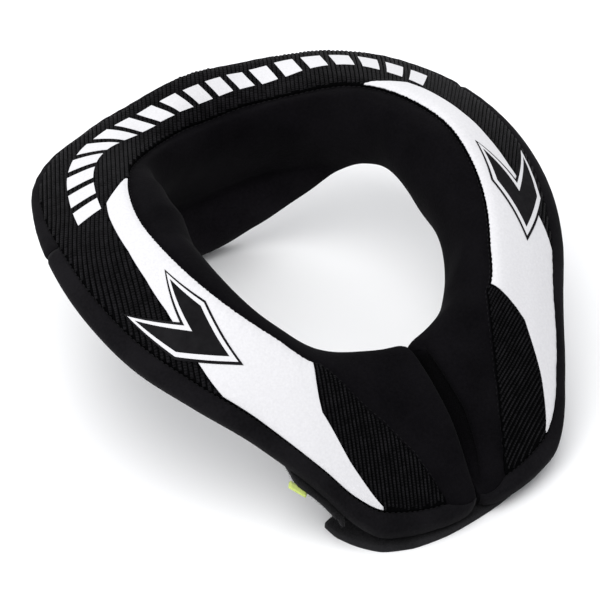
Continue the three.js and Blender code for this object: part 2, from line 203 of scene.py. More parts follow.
def section_controls(angle):
    """The eleven points of the section at each angle, as (11, angles, 2): radius and height."""
    up = smooth_columns(UPPER, UPPER_COLUMNS, angle)
    down = smooth_columns(LOWER, LOWER_COLUMNS, angle)

    def point(radius, height):
        return np.stack([radius, height], axis=-1)

    rim_radius = NECK_RADIUS * up["rim"]
    low_radius = rim_radius + ROLL_WIDTH * down["low"]
    depth = EDGE_DEPTH * up["depth"]
    reach = EDGE_REACH * up["reach"]
    rim = point(rim_radius, CREST_HEIGHT * down["rim_z"])
    crest = point(rim_radius + ROLL_WIDTH * up["crest"], CREST_HEIGHT * up["crest_z"])
    seam = point(crest[:, 0] + FACE_WIDTH * up["seam"], CREST_HEIGHT * up["under_z"] + depth)
    along = (seam - crest) / np.linalg.norm(seam - crest, axis=1, keepdims=True)
    crown = (crest + seam) / 2 + point(-along[:, 1], along[:, 0]) * (CROWN * up["crown"])[:, None]
    edge = seam + point(reach, -0.45 * depth)
    under = seam + point(0.25 * reach, -depth)
    waist = point(rim_radius + ROLL_WIDTH * down["waist"], CREST_HEIGHT * down["waist_z"])
    low = point(low_radius, CREST_HEIGHT * down["low_z"])
    heel = point(low_radius + WALL * down["heel"], CREST_HEIGHT * down["heel_z"])
    shoulder = rim + (crest - rim) * (0.42, 0.90)
    return np.stack([crest, crown, seam, edge, under, (under + heel) / 2, heel, low, waist, rim, shoulder])


def section_point(controls, place):
    """Point of the closed smooth line through the controls, at a place counted in controls."""
    index = np.floor(place).astype(int)
    every = np.arange(len(place))
    points = [controls[(index + step) % len(controls), every] for step in (-1, 0, 1, 2)]
    knots = [np.zeros(len(place))]
    for before, after in zip(points, points[1:]):
        knots.append(knots[-1] + np.sqrt(np.linalg.norm(after - before, axis=1)))
    at = knots[1] + (knots[2] - knots[1]) * (place - index)

    def blend(a, b, start, end):
        return a + (b - a) * ((at - start) / (end - start))[:, None]

    first = [blend(points[k], points[k + 1], knots[k], knots[k + 1]) for k in range(3)]
    second = [blend(first[k], first[k + 1], knots[k], knots[k + 2]) for k in range(2)]
    return blend(second[0], second[1], knots[1], knots[2])


def from_split(turn):
    """Degrees from the split, the same on both sides."""
    return np.minimum(turn, 360 - turn)


def ring_point(turn, radius, height):
    """A section point in space. turn runs in degrees from the split round the right side and the back."""
    side = np.where(turn <= 180, 1.0, -1.0)
    angle = from_split(turn)
    around = np.radians(angle)
    across = radius * np.sin(around) + FLAP_GAP / 2 * (1 - angle / 180)
    lowest = np.where(angle < FRONT_TURN, FRONT_FLOOR, 0.0)
    return np.stack([side * across, NECK_Y - radius * np.cos(around), np.maximum(height, lowest)], axis=-1)


def bare_point(turn, place):
    """Points of the ring before any swelling, for flat arrays of turns and places."""
    angle = from_split(turn)
    controls = section_controls(angle)
    depth = np.clip(1 - angle / END_TURN, 0, 1)
    shrink = END_SHRINK * (1 - np.sqrt(1 - depth**2))
    flat = section_point(controls, place)
    flat = flat + (controls.mean(axis=0) - flat) * shrink[:, None]
    return ring_point(turn, flat[:, 0], flat[:, 1])


print("front edge at", bare_point(np.array([0.0]), np.array([3.0])).round(4))


# %% Normals, grids and meshes
def bare_normal(turn, place):
    """Outward direction of the bare ring, from small steps along it and across it."""
    along = bare_point(np.minimum(turn + 0.5, 360), place) - bare_point(np.maximum(turn - 0.5, 0), place)
    across = bare_point(turn, place + 0.05) - bare_point(turn, place - 0.05)
    normal = np.cross(across, along)
    return normal / np.maximum(np.linalg.norm(normal, axis=1, keepdims=True), 1e-12)


def new_object(name, points, faces):
    """A smooth-shaded mesh object from points and faces, linked to the scene."""
    mesh = bpy.data.meshes.new(name)
    mesh.from_pydata([tuple(point) for point in points], [], faces)
    mesh.polygons.foreach_set("use_smooth", [True] * len(mesh.polygons))
    return linked_object(name, mesh)


def tube_faces(rings, count):
    """Four-sided faces between rings that each have count points and are closed."""
    faces = []
    for ring in range(rings - 1):
        for k in range(count):
            a = ring * count + k
            b = ring * count + (k + 1) % count
            faces.append((a, b, b + count, a + count))
    return faces


def capped_tube(rings, count):
    """The faces of such a tube with a cap on each end."""
    last = (rings - 1) * count
    return [*tube_faces(rings, count), tuple(range(count))[::-1], tuple(range(last, last + count))]


def sheet_faces(rows, count, start=0):
    """Four-sided faces of an open grid whose points are numbered from start."""
    faces = []
    for row in range(rows - 1):
        for k in range(count - 1):
            corner = start + row * count + k
            faces.append((corner, corner + 1, corner + count + 1, corner + count))
    return faces


def keep_result(piece):
    """Makes what the modifiers show the piece's own smooth mesh, and takes them away."""
    graph = bpy.context.evaluated_depsgraph_get()
    made = bpy.data.meshes.new_from_object(piece.evaluated_get(graph), depsgraph=graph)
    piece.modifiers.clear()
    piece.data = made
    made.polygons.foreach_set("use_smooth", [True] * len(made.polygons))
    return piece


def dress(piece, material, slot, *nodes):
    """Gives a finished piece its material and its body, and hides the nodes that it stands for. The slot is
    not used.
    """
    piece.data.materials.clear()
    piece.data.materials.append(material)
    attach(piece, "root")
    if nodes:
        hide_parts(*nodes)
    low, high = np.array(piece.bound_box).min(0), np.array(piece.bound_box).max(0)
    print(piece.name, len(piece.data.polygons), "faces, size mm", ((high - low) * 1000).round(1))
    return piece


# %% [markdown]
# ## Finishes
# The knit is a dull, fine stretch cloth. The twill is a dark ground cloth under raised ribs. The prints
# are a thin white film. Object coordinates keep each pattern at its real size on the curved foam.

# %% Node helpers
def new_material(name):
    """An empty node material, its tree and its Principled shader."""
    material = bpy.data.materials.new(name)
    material.use_nodes = True
    return material, material.node_tree, material.node_tree.nodes["Principled BSDF"]


def add_node(tree, kind, inputs=None, **settings):
    """Adds a node. An input takes a plain value, a socket, or a node for that node's first output."""
    node = tree.nodes.new(kind)
    for key, value in settings.items():
        setattr(node, key, value)
    for key, value in (inputs or {}).items():
        source = value.outputs[0] if isinstance(value, bpy.types.Node) else value
        if isinstance(source, bpy.types.NodeSocket):
            tree.links.new(source, node.inputs[key])
        else:
            node.inputs[key].default_value = source
    return node


def number_node(tree, operation, *values):
    """A math node on sockets or plain numbers; returns its result."""
    return add_node(tree, "ShaderNodeMath", dict(enumerate(values)), operation=operation).outputs[0]


def vector_of(tree, **parts):
    """A vector made of sockets for X, Y and Z; a part that isn't given is 0."""
    return add_node(tree, "ShaderNodeCombineXYZ", parts).outputs[0]


def colour_between(tree, factor, dark, light, start=0.0, end=1.0):
    """A colour ramp from dark to light, driven by a factor socket."""
    ramp = add_node(tree, "ShaderNodeValToRGB", {"Fac": factor})
    for element, place, colour in zip(ramp.color_ramp.elements, (start, end), (dark, light)):
        element.position = place
        element.color = (*colour, 1)
    return ramp.outputs["Color"]


def raise_surface(tree, shader, height, depth):
    """Sends a height socket to the shader's normal; depth is in metres."""
    bump = add_node(tree, "ShaderNodeBump", {"Strength": 1.0, "Distance": depth, "Height": height})
    tree.links.new(bump.outputs["Normal"], shader.inputs["Normal"])


def object_place(tree, turn=0.0):
    """Object coordinates, turned about the upright axis."""
    place = add_node(tree, "ShaderNodeTexCoord").outputs["Object"]
    mapping = add_node(tree, "ShaderNodeMapping", {"Vector": place, "Rotation": (0, 0, turn)})
    return mapping.outputs["Vector"]


def spots_node(tree, where, scale, detail):
    """Soft random spots; scale counts them along a metre."""
    spots = add_node(tree, "ShaderNodeTexNoise", {"Vector": where, "Scale": scale, "Detail": detail})
    return spots.outputs["Fac"]


def bands_node(tree, where, period, distortion):
    """Even bands, one in each period in metres; at scale 1 the texture has 20 of them in a full turn."""
    inputs = {"Vector": where, "Scale": math.tau / 20 / period, "Distortion": distortion}
    return add_node(tree, "ShaderNodeTexWave", inputs).outputs["Fac"]


print("node helpers ready")

# %% Smooth cloths
CLOTHS = (
    ("black_knit", (0.0016, 0.0014, 0.0019), (0.0040, 0.0036, 0.0045), 0.95, 0.01, 0.0009, 0.00012),
    ("edge_knit", (0.0026, 0.0024, 0.0030), (0.0070, 0.0065, 0.0076), 0.92, 0.02, 0.0008, 0.00016),
    ("seam_thread", (0.003, 0.0028, 0.0032), (0.010, 0.0096, 0.0106), 0.6, 0.0, 0.0005, 0.00005),
    ("loop_pile", (0.008, 0.008, 0.0088), (0.022, 0.0215, 0.023), 0.98, 0.05, 0.0007, 0.0003),
    ("hook_tape", (0.007, 0.007, 0.0076), (0.018, 0.0175, 0.019), 0.9, 0.04, 0.0006, 0.0003),
    ("tag_weave", (0.36, 0.46, 0.06), (0.55, 0.64, 0.20), 0.8, 0.1, 0.0007, 0.0001),
    ("black_film", (0.004, 0.0038, 0.0044), (0.010, 0.0096, 0.0106), 0.7, 0.0, 0.0021, 0.0002),
)
TONE_RANGE = (0.5, 1.05)          # where the tone of a cloth runs from its dark to its light colour


def cloth_material(name, dark, light, roughness, sheen, stitch, depth):
    """A matte cloth of fine loops: stitch is the size of a loop and depth its relief, in metres."""
    material, tree, shader = new_material(name)
    where = object_place(tree)
    inputs = {"Vector": where, "Scale": 1 / stitch}
    loops = add_node(tree, "ShaderNodeTexVoronoi", inputs, feature="SMOOTH_F1").outputs["Distance"]
    fibres = spots_node(tree, where, 0.6 / stitch, 4.0)
    tone = number_node(tree, "MULTIPLY_ADD", fibres, 0.6, spots_node(tree, where, 40.0, 3.0))
    tree.links.new(colour_between(tree, tone, dark, light, *TONE_RANGE), shader.inputs["Base Color"])
    raise_surface(tree, shader, number_node(tree, "ADD", loops, fibres), depth)
    shader.inputs["Roughness"].default_value = roughness
    shader.inputs["Sheen Weight"].default_value = sheen
    shader.inputs["Sheen Roughness"].default_value = 0.5
    shader.inputs["Specular IOR Level"].default_value = 0.03
    return material


def paint_ledge_light(material, dark, light):
    """Painted light: where the ledge attribute is 1, the cloth takes a second, lighter pair of colours, a
    painted highlight for the light that the ledge low inside the back catches.
    """
    tree = material.node_tree
    shader = tree.nodes["Principled BSDF"]
    plain = shader.inputs["Base Color"].links[0].from_socket
    tone = plain.node.inputs["Fac"].links[0].from_socket
    share = add_node(tree, "ShaderNodeAttribute", attribute_name="painted_ledge_light").outputs["Fac"]
    lighter = colour_between(tree, tone, dark, light, *TONE_RANGE)
    mix = add_node(tree, "ShaderNodeMix", {"Factor": share, 6: plain, 7: lighter}, data_type="RGBA")
    tree.links.new(mix.outputs[2], shader.inputs["Base Color"])


knit, edge_knit, seam_thread, loop_pile, hook_tape, tag_weave, film_black = (
    cloth_material(*row) for row in CLOTHS)
# Painted light: a lighter copy of the knit's colours on the ledge low inside the back, standing for the
# light it catches as it faces up.
paint_ledge_light(knit, (0.0034, 0.0030, 0.0038), (0.0078, 0.0070, 0.0086))
print("cloths:", [row[0] for row in CLOTHS])

# %% Twill with straight ribs
RIB_PITCH = 0.0021
RIB_TURN = math.radians(28)       # the ribs lean this far from the fore-and-aft line
GROUND_PITCH = 0.0007             # fine threads of the cloth between the ribs
TWIST_PITCH = 0.0013              # twists along each rib


def twill_material():
    """The ground cloth between the ribs: very dark, with fine threads across."""
    material, tree, shader = new_material("twill_ground")
    where = object_place(tree, RIB_TURN)
    threads = bands_node(tree, where, GROUND_PITCH, 1.5)
    tint = number_node(tree, "MULTIPLY", threads, spots_node(tree, where, 260.0, 4.0))
    colour = colour_between(tree, tint, (0.0005, 0.0005, 0.0006), (0.0020, 0.0020, 0.0023), 0.1, 0.6)
    tree.links.new(colour, shader.inputs["Base Color"])
    raise_surface(tree, shader, threads, 0.0001)
    shader.inputs["Roughness"].default_value = 0.9
    shader.inputs["Specular IOR Level"].default_value = 0.015
    return material


def thread_material():
    """One rib: slanted twists, read from the length stored along each rib and shifted at random."""
    material, tree, shader = new_material("rib_thread")
    where = object_place(tree)
    along = add_node(tree, "ShaderNodeAttribute", attribute_name="along").outputs["Fac"]
    fuzz = spots_node(tree, where, 1500.0, 3.0)
    patches = spots_node(tree, where, 220.0, 3.0)
    phase = number_node(tree, "MULTIPLY_ADD", along, math.tau / TWIST_PITCH, fuzz)
    twist = number_node(tree, "SINE", number_node(tree, "MULTIPLY_ADD", patches, 16.0, phase))
    bright = number_node(tree, "MULTIPLY_ADD", twist, 0.16, patches)
    colour = colour_between(tree, bright, (0.0007, 0.0006, 0.0009), (0.0090, 0.0085, 0.0098), 0.32, 0.8)
    tree.links.new(colour, shader.inputs["Base Color"])
    raise_surface(tree, shader, number_node(tree, "MULTIPLY_ADD", fuzz, 0.8, twist), 0.00010)
    shader.inputs["Roughness"].default_value = 0.68
    shader.inputs["Sheen Weight"].default_value = 0.022
    shader.inputs["Specular IOR Level"].default_value = 0.035
    return material


twill = twill_material()
rib_thread = thread_material()
print("twill ribs every", RIB_PITCH * 1000, "mm")


# %% White print and floor
def print_material():
    """White film: a soft satin with a faint trace of the cloth below and tiny uneven spots."""
    material, tree, shader = new_material("white_print")
    where = object_place(tree, RIB_TURN)
    ribs = bands_node(tree, where, RIB_PITCH, 0.2)
    spots = spots_node(tree, where, 900.0, 3.0)
    colour = colour_between(tree, spots, (0.575, 0.57, 0.585), (0.625, 0.62, 0.635), 0.3, 0.7)
    tree.links.new(colour, shader.inputs["Base Color"])
    raise_surface(tree, shader, number_node(tree, "MULTIPLY_ADD", ribs, 0.3, spots), 0.00004)
    shader.inputs["Roughness"].default_value = 0.5
    shader.inputs["Specular IOR Level"].default_value = 0.3
    return material


white_film = print_material()
floor_finish, floor_tree, floor_shader = new_material("pale_floor")
floor_spots = spots_node(floor_tree, object_place(floor_tree), 3.0, 2.0)
floor_tint = colour_between(floor_tree, floor_spots, (0.90, 0.90, 0.905), (0.92, 0.92, 0.925))
floor_tree.links.new(floor_tint, floor_shader.inputs["Base Color"])
floor_shader.inputs["Roughness"].default_value = 0.9
floor.data.materials.append(floor_finish)
print("white film and floor ready")

# %% [markdown]
# ## The padded core
# The foam ring is covered in knit cloth, pulled tight at the seams. The rule gives its shape. A short
# cloth simulation then blows the cover out a little, as foam does, and only how far each point moved along
# its normal is kept. Every cloth that lies on the ring reads the same swelling, so they all stay together.

# %% Grid of the core
CORE_PLACES = 66
PLACE_COUNT = 11
FINE_TO = 42                 # the turns are closer together from the split up to here


def ring_turns(front, back):
    """Turns all round the ring from counts of steps; the first few round off the flap ends."""
    rounding = END_TURN * np.array([0.0, 0.08, 0.25, 0.5, 0.75])
    sides = np.linspace(END_TURN, FINE_TO, front), np.linspace(FINE_TO, 180, back)[1:]
    half = np.concatenate([rounding, *sides])
    return np.concatenate([half, 360 - half[-2::-1]])


def grid_of(turns, places):
    """Flat arrays of every turn with every place."""
    turn, place = np.meshgrid(turns, places, indexing="ij")
    return turn.ravel(), place.ravel()


core_turns = ring_turns(24, 66)
core_grid = grid_of(core_turns, np.linspace(0, PLACE_COUNT, CORE_PLACES, endpoint=False))
core_bare = bare_point(*core_grid)
core_normals = bare_normal(*core_grid)
print("core grid", len(core_turns), "by", CORE_PLACES)


# %% Swell the core by a cloth simulation
SWELL_CAP = 0.0018
SWELL_FRAMES = 20
TRIAL_INSET = 0.0008         # the cover starts this far inside, so that the pressure brings it back out


def simulated_swell():
    """How far each grid point moves outwards when the cover is blown up a little."""
    faces = capped_tube(len(core_turns), CORE_PLACES)
    trial = new_object("swell_trial", core_bare - core_normals * TRIAL_INSET, faces)
    pinned = trial.vertex_groups.new(name="flap_ends")
    last = len(core_bare)
    pinned.add(list(range(2 * CORE_PLACES)) + list(range(last - 2 * CORE_PLACES, last)), 1.0, "REPLACE")
    cloth = trial.modifiers.new("cover", "CLOTH")
    cloth.settings.effector_weights.gravity = 0.0
    cloth.settings.use_pressure = True
    cloth.settings.uniform_pressure_force = 4.0
    cloth.settings.vertex_group_mass = "flap_ends"
    cloth.settings.tension_stiffness = 12.0
    cloth.settings.compression_stiffness = 12.0
    cloth.settings.bending_stiffness = 0.6
    cloth.collision_settings.use_collision = False
    scene = bpy.context.scene
    for number in range(1, SWELL_FRAMES + 1):
        scene.frame_set(number)
    evaluated = trial.evaluated_get(bpy.context.evaluated_depsgraph_get())
    moved = np.empty(last * 3)
    evaluated.data.vertices.foreach_get("co", moved)
    scene.frame_set(1)
    bpy.data.objects.remove(trial)
    swell = ((moved.reshape(-1, 3) - core_bare) * core_normals).sum(axis=1)
    swell = np.clip(swell, -SWELL_CAP / 2, SWELL_CAP).reshape(len(core_turns), CORE_PLACES)
    for _ in range(3):
        swell = (np.roll(swell, 1, axis=1) + 2 * swell + np.roll(swell, -1, axis=1)) / 4
        swell[1:-1] = (swell[:-2] + 2 * swell[1:-1] + swell[2:]) / 4
    return swell


core_swell = simulated_swell()
swell_columns = np.concatenate([core_swell, core_swell[:, :1]], axis=1)
print("swelling mm from", (core_swell.min() * 1000).round(2), "to", (core_swell.max() * 1000).round(2))


# %% Seams that pull the cover in
FLAP_SEAM = np.array([
    (0, 1.90), (7, 1.88), (8.5, 1.60), (11, 1.28), (16, 0.88), (22, 0.56), (26, 0.32), (31, 0.0),
])
OUTER_SEAM = 2.0
SEAM_DEPTH = 0.0009
SEAM_WIDTH = 0.0024
PUCKER_DEPTH = 0.00016
PUCKER_WIDTH = 0.006


def rising(value, start, end):
    """0 at start and 1 at end, straight between them; start may be the larger one."""
    return np.clip((value - start) / (end - start), 0, 1)


def hump(distance, width):
    """1 at no distance, falling off softly over about two widths."""
    return np.exp(-((distance / width) ** 2))


def eased(share):
    """A share from 0 to 1 with a level start and end."""
    return share**2 * (3 - 2 * share)


def roll_seam(turn):
    """Place of the seam between the smooth knit and the twill at each turn."""
    return np.interp(from_split(turn), FLAP_SEAM[:, 0], FLAP_SEAM[:, 1])


def swell_at(turn, place):
    """The simulated swelling between the points of its grid."""
    row = np.clip(np.searchsorted(core_turns, turn, side="right") - 1, 0, len(core_turns) - 2)
    along = (turn - core_turns[row]) / (core_turns[row + 1] - core_turns[row])
    step = (place % PLACE_COUNT) * CORE_PLACES / PLACE_COUNT
    column = np.minimum(np.floor(step).astype(int), CORE_PLACES - 1)
    across = step - column
    near = swell_columns[row, column] * (1 - across) + swell_columns[row, column + 1] * across
    far = swell_columns[row + 1, column] * (1 - across) + swell_columns[row + 1, column + 1] * across
    return near * (1 - along) + far * along


def seam_dip(turn, place, point):
    """How far the seams pull the cover in, with small puckers on both sides of each."""
    dip = np.zeros(len(turn))
    sewn = rising(from_split(turn), 4, 9)
    pucker = np.sin(np.radians(turn) * 61) * np.sin(np.radians(turn) * 143 + 1.0)
    for seam in (roll_seam(turn), np.full(len(turn), OUTER_SEAM)):
        away = np.linalg.norm(point - bare_point(turn, seam), axis=1)
        dip += sewn * SEAM_DEPTH * hump(away, SEAM_WIDTH)
        dip += sewn * PUCKER_DEPTH * pucker * hump(away, PUCKER_WIDTH)
    return dip


crest = (np.array([90.0]), np.array([0.0]))
print("seam dip at the crest mm", (seam_dip(*crest, bare_point(*crest)) * 1000).round(2))

# %% Groove, gap and ledge
GROOVE_TURN = 11.0
GROOVE_PLACES = np.array([0, 1, 2, 3, 4, 8.5, 9.5, 10.3, 11])
GROOVE_DEPTHS = np.array([0.007, 0.0085, 0.005, 0.0012, 0.0, 0.0, 0.001, 0.003, 0.007])
PIPING_TURN = 358.6
PIPING_HEIGHT = 0.0007
PIPING_FULL = 0.009          # the piping has its full height where the groove is this deep
GAP_TURN = 14.0
GAP_PLACES = np.array([0, 1, 1.6, 2.2, 3.0, 8.6, 9.4, 10.2, 11])
GAP_WIDTHS = np.array([0.0034, 0.0062, 0.0044, 0.0008, -0.00115, -0.00115, -0.0009, 0.0, 0.0034])
TOUCH = 0.00115              # the left flap comes this far towards the right one
FLAP_PRESS = 0.00005         # and each stops this far past the split
LEDGE_PLACE = 7.48
LEDGE_HEIGHT = 0.0038
CREASE_PLACE = 8.02
CREASE_DEPTH = 0.0024
CORNER_PLACE = 9.6
CORNER_HEIGHT = 0.005


def groove_dip(turn, place):
    """How far the right flap rounds down into the groove; the left flap's rim stands up as piping."""
    depth = np.interp(place % PLACE_COUNT, GROOVE_PLACES, GROOVE_DEPTHS)
    near = np.clip(1 - turn / GROOVE_TURN, 0, 1)
    piping = rising(depth, 0, PIPING_FULL) * PIPING_HEIGHT * hump(turn - PIPING_TURN, 0.7)
    return depth * (1 - np.sqrt(1 - near**2)) - piping


def ledge_rise(turn, place):
    """Inside the back, a crease divides the wall and the foam below it stands out as a soft ledge."""
    at = place % PLACE_COUNT
    ledge = LEDGE_HEIGHT * hump(at - LEDGE_PLACE, 0.36)
    crease = CREASE_DEPTH * hump(at - CREASE_PLACE, 0.11)
    back = rising(turn, 138, 160) * rising(turn, 252, 230)
    corner = rising(turn, 218, 232) * rising(turn, 266, 252)
    return back * (ledge - crease) + corner * CORNER_HEIGHT * hump(at - CORNER_PLACE, 0.7)


def gap_shift(turn, place):
    """How far each flap is moved aside, most in the middle of the right flap's face."""
    opened = np.interp(place % PLACE_COUNT, GAP_PLACES, GAP_WIDTHS)
    return opened * eased(rising(turn, GAP_TURN, 0)) + TOUCH * eased(rising(turn, 360 - GAP_TURN, 360))


def stop_at_split(turn, across):
    """Stops each flap just past the split, so that the two press flat against each other."""
    across = np.where(turn < GAP_TURN, np.maximum(across, -FLAP_PRESS), across)
    return np.where(turn > 360 - GAP_TURN, np.minimum(across, FLAP_PRESS), across)


def skin_point(turn, place, lift=0.0):
    """Points that lie a height above the swollen and sewn cover."""
    point = bare_point(turn, place)
    height = lift + swell_at(turn, place) - seam_dip(turn, place, point) - groove_dip(turn, place)
    height = height + ledge_rise(turn, place)
    point = point + bare_normal(turn, place) * np.reshape(height, (-1, 1))
    point[:, 0] = stop_at_split(turn, point[:, 0] + gap_shift(turn, place))
    return point


def skin_grid(turns, place, lift):
    """Skin points for a grid of places with one row for each turn, as (rows, columns, 3)."""
    turn = np.repeat(turns, place.shape[1])
    lift = np.broadcast_to(lift, place.shape).ravel()
    return skin_point(turn, place.ravel(), lift).reshape(*place.shape, 3)


ends = [skin_point(np.full(9, turn), np.linspace(4, 8, 9))[:, 0] * 1000 for turn in (0.0, 360.0)]
print("flap ends at x mm, right", ends[0].round(2), "left", ends[1].round(2))

# %% The core itself
FINE_PLACES = 132
fine_turns = ring_turns(36, 100)
core_turn, core_place = grid_of(fine_turns, np.linspace(0, PLACE_COUNT, FINE_PLACES, endpoint=False))
core_points = skin_point(core_turn, core_place)
core_points[:, 2] = np.maximum(core_points[:, 2], 0.0)
core = new_object("padded_core", core_points, capped_tube(len(fine_turns), FINE_PLACES))
# Mask of painted light: 1 on the ledge below the crease inside the back, where the knit is painted lighter.
painted_ledge_light = rising(core_place, CREASE_PLACE, CREASE_PLACE - 0.12) * rising(core_place, 5.5, 6.0)
painted_ledge_light *= rising(core_turn, 140, 162) * rising(core_turn, 252, 230)
core.data.attributes.new("painted_ledge_light", "FLOAT", "POINT").data.foreach_set("value", painted_ledge_light)
dress(core, knit, "knit_cloth", "collar_body")

# %% [markdown]
# ## Cloths sewn on the core
# Each cloth is a thin closed strip that follows the core between two lines. Its rims roll down over about
# a millimetre, as a folded edge does, so no strip ends in a sharp step.

# %% Strips that follow the core
STRIP_SINK = 0.0002          # the under-face of a strip lies this far below its lift


def closed_slab(name, top, bottom):
    """A closed piece between two grids of points of the same shape (rows, columns, 3)."""
    rings = np.concatenate([top, bottom[:, ::-1]], axis=1)
    rows, count = rings.shape[:2]
    faces = tube_faces(rows, count)
    last = (rows - 1) * count
    for k in range(count // 2 - 1):
        cap = (k, k + 1, count - 2 - k, count - 1 - k)
        faces.append(cap[::-1])
        faces.append(tuple(last + corner for corner in cap))
    return new_object(name, rings.reshape(-1, 3), faces)


def sorted_turns(start, end, extra=(), step=1.2):
    """Evenly spaced turns with some extra ones among them."""
    plain = np.linspace(start, end, int(abs(end - start) / step) + 2)
    kept = [turn for turn in plain if all(abs(turn - other) > 0.35 * step for other in extra)]
    return np.array(sorted({start, end, *kept, *[turn for turn in extra if start < turn < end]}))


def strip(name, turns, edges, steps, lift, thickness, taper=None):
    """A closed strip on the core. edges gives the two places across, lift and thickness are in metres."""
    start, end = edges(turns)
    share = np.concatenate([[0.0, 0.004, 0.015], np.linspace(0.04, 0.96, steps), [0.985, 0.996, 1.0]])
    rim = np.concatenate([[0.0, 0.55, 0.9], np.ones(steps), [0.9, 0.55, 0.0]])
    place = start[:, None] + (end - start)[:, None] * share
    end_roll = np.ones(len(turns))
    end_roll[[0, -1]] = 0.35
    if taper is not None:
        end_roll = np.minimum(end_roll, taper(turns))
    top = skin_grid(turns, place, lift + thickness * rim[None, :] * end_roll[:, None])
    return closed_slab(name, top, skin_grid(turns, place, lift - STRIP_SINK))


print("strips ready, rims roll over a millimetre")

# %% Twill cover
TWILL_LIFT = 0.00045
TWILL = 0.001
TWILL_TOP = TWILL_LIFT + TWILL
COVER_START = 7.0


def cover_places(turns):
    """The twill runs from the seam of the roll to the outer seam."""
    return roll_seam(turns) + 0.01, np.full(len(turns), 1.99)


seam_turns = FLAP_SEAM[1:, 0]
twill_turns = sorted_turns(COVER_START, 360 - COVER_START, (*seam_turns, *(360 - seam_turns)))
twill_cover = strip("twill_cover", twill_turns, cover_places, 40, TWILL_LIFT, TWILL)
dress(twill_cover, twill, "ribbed_cloth", "twill_panel")

# %% [markdown]
# ## Raised ribs
# The ribs of the twill are real threads, thick enough to catch the light one by one. Geometry Nodes lays
# them: straight lines are drawn over the brace in plan, bent a little where the cloth was bent, and
# dropped onto the cloth. What misses the cloth is thrown away, and the rest becomes a flat round thread.
# Two panels on the flaps and the long panel round the back were cut from the cloth at different angles, so
# each has its own direction.

# %% Helpers for node trees
def geometry_tree(name, inputs):
    """A geometry node tree with named number inputs and their first values."""
    tree = bpy.data.node_groups.new(name, "GeometryNodeTree")
    tree.interface.new_socket("Geometry", in_out="INPUT", socket_type="NodeSocketGeometry")
    tree.interface.new_socket("Geometry", in_out="OUTPUT", socket_type="NodeSocketGeometry")
    for label, value in inputs.items():
        kind = "NodeSocketInt" if isinstance(value, int) else "NodeSocketFloat"
        tree.interface.new_socket(label, in_out="INPUT", socket_type=kind).default_value = value
    return tree, tree.nodes.new("NodeGroupInput"), tree.nodes.new("NodeGroupOutput")


def finish_tree(tree, output, geometry, material):
    """Ends a tree with real geometry in one material."""
    real = add_node(tree, "GeometryNodeRealizeInstances", {"Geometry": geometry})
    painted = add_node(tree, "GeometryNodeSetMaterial", {"Geometry": real, "Material": material})
    tree.links.new(painted.outputs[0], output.inputs[0])


def grow(piece, tree, values):
    """Runs a tree on an object with the given input values and keeps the result as its mesh."""
    modifier = piece.modifiers.new(tree.name, "NODES")
    modifier.node_group = tree
    for item in tree.interface.items_tree:
        if item.item_type == "SOCKET" and item.in_out == "INPUT" and item.name in values:
            modifier[item.identifier] = values[item.name]
    return keep_result(piece)


print("node tree helpers ready")

# %% Tree of ribs
LINE_HALF = 0.19             # half the length of a line in plan
LINE_POINTS = 560
LINE_COUNT = 201
DROP_FROM = 0.3              # the lines are dropped onto the cloth from this height
THREAD_STEP = 0.0026


def bent_lines(tree, given):
    """Straight lines in plan at an even pitch, turned, and bent on both sides of the back."""
    ends = {"Start": (0, -LINE_HALF, 0), "End": (0, LINE_HALF, 0)}
    line = add_node(tree, "GeometryNodeCurvePrimitiveLine", ends)
    fine = add_node(tree, "GeometryNodeResampleCurve", {"Curve": line, "Count": LINE_POINTS})
    pitch = given.outputs["Pitch"]
    first = number_node(tree, "MULTIPLY", pitch, -float(LINE_COUNT // 2))
    row = {"Start Location": vector_of(tree, X=first), "Offset": vector_of(tree, X=pitch)}
    starts = add_node(tree, "GeometryNodeMeshLine", {"Count": LINE_COUNT, **row})
    rows = add_node(tree, "GeometryNodeInstanceOnPoints", {"Points": starts, "Instance": fine})
    real = add_node(tree, "GeometryNodeRealizeInstances", {"Geometry": rows})
    angle = number_node(tree, "MULTIPLY", given.outputs["Direction"], -1.0)
    inputs = {"Geometry": real, "Rotation": vector_of(tree, Z=angle)}
    turned = add_node(tree, "GeometryNodeTransform", inputs)
    here = add_node(tree, "GeometryNodeInputPosition")
    parts = add_node(tree, "ShaderNodeSeparateXYZ", {"Vector": here}).outputs
    turn = number_node(tree, "ARCTAN2", parts["X"], number_node(tree, "SUBTRACT", NECK_Y, parts["Y"]))
    shifts = []
    for label, start, end, still in (("Right Bend", 145, 95, 0.060), ("Left Bend", -118, -82, 0.025)):
        inputs = {"Value": turn, "From Min": math.radians(start), "From Max": math.radians(end)}
        share = add_node(tree, "ShaderNodeMapRange", inputs, interpolation_type="SMOOTHSTEP")
        side = number_node(tree, "GREATER_THAN" if end > 0 else "LESS_THAN", parts["X"], 0.0)
        away = number_node(tree, "MULTIPLY", number_node(tree, "SUBTRACT", parts["Y"], still), side)
        bend = number_node(tree, "MULTIPLY", away, share.outputs[0])
        shifts.append(number_node(tree, "MULTIPLY", bend, given.outputs[label]))
    shift = vector_of(tree, X=number_node(tree, "ADD", *shifts))
    return add_node(tree, "GeometryNodeSetPosition", {"Geometry": turned, "Offset": shift})


